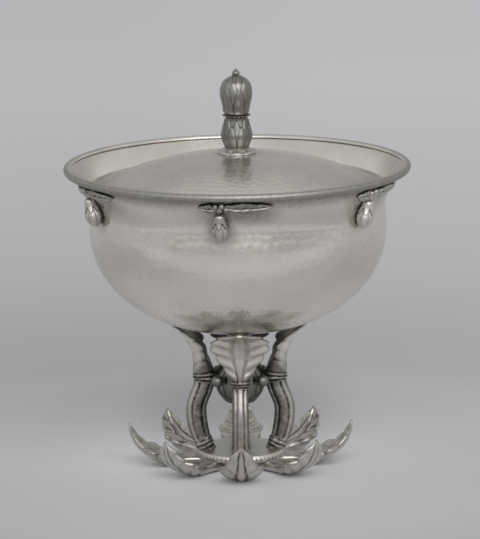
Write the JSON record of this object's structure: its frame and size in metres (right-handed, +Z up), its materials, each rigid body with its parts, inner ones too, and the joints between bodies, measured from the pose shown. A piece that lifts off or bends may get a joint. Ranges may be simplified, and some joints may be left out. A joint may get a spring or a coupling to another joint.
{
  "type": "covered bowl",
  "caption": "Footed covered bowl with a flared lip, a low domed lift-off lid with a bud finial, cast leaf ornament under the lip and scroll legs on a rosette of upturned leaves.",
  "frame": {"origin": "on the table, under the middle of the bowl", "axes": "+Z up through the finial, -Y towards the front leg, +X towards the right leg as seen from the front"},
  "size_m": [0.1658, 0.1658, 0.1932],
  "materials": {
    "hammered_silver": "hand-hammered silver, softly polished",
    "polished_silver": "drawn silver wire and bezel, polished",
    "cast_silver": "cast silver with a light patina",
    "oxidised_silver": "cast silver, oxidised in its hollows",
    "steel_fastener": "plain turned fastener"
  },
  "bodies": {
    "bowl": {"base_disc": "cast_silver", "base_leaf_1": "cast_silver", "base_leaf_2": "cast_silver", "base_leaf_3": "cast_silver", "base_leaf_4": "cast_silver", "bowl_boss": "cast_silver", "bowl_shell": "hammered_silver", "centre_rod": "steel_fastener", "foot_back": "cast_silver", "foot_front": "cast_silver", "foot_left": "cast_silver", "foot_right": "cast_silver", "leg_back": "oxidised_silver", "leg_front": "oxidised_silver", "leg_left": "oxidised_silver", "leg_right": "oxidised_silver", "lid_seat": "polished_silver", "rim_bud_1": "oxidised_silver", "rim_bud_2": "oxidised_silver", "rim_bud_3": "oxidised_silver", "rim_bud_4": "oxidised_silver", "rim_bud_5": "oxidised_silver", "rim_bud_6": "oxidised_silver", "rim_leaf_1": "oxidised_silver", "rim_leaf_2": "oxidised_silver", "rim_leaf_3": "oxidised_silver", "rim_leaf_4": "oxidised_silver", "rim_leaf_5": "oxidised_silver", "rim_leaf_6": "oxidised_silver", "rim_wire": "polished_silver", "rod_nut": "steel_fastener", "rod_washer": "steel_fastener", "waist_bead_1": "oxidised_silver", "waist_bead_2": "oxidised_silver", "waist_bead_3": "oxidised_silver", "waist_bead_4": "oxidised_silver", "waist_knop": "oxidised_silver"},
    "lid": {"finial_base": "cast_silver", "finial_collar": "cast_silver", "finial_lower_bud": "cast_silver", "finial_nut": "steel_fastener", "finial_screw": "steel_fastener", "finial_tip": "cast_silver", "finial_upper_bud": "cast_silver", "finial_washer": "steel_fastener", "lid_bezel": "polished_silver", "lid_dome": "hammered_silver", "lid_wire": "polished_silver"}
  },
  "joints": [
    {"name": "lid_lift", "type": "slide", "parent": "bowl", "child": "lid", "axis": [0, 0, 1], "range_m": [0, 0.12]}
  ]
}
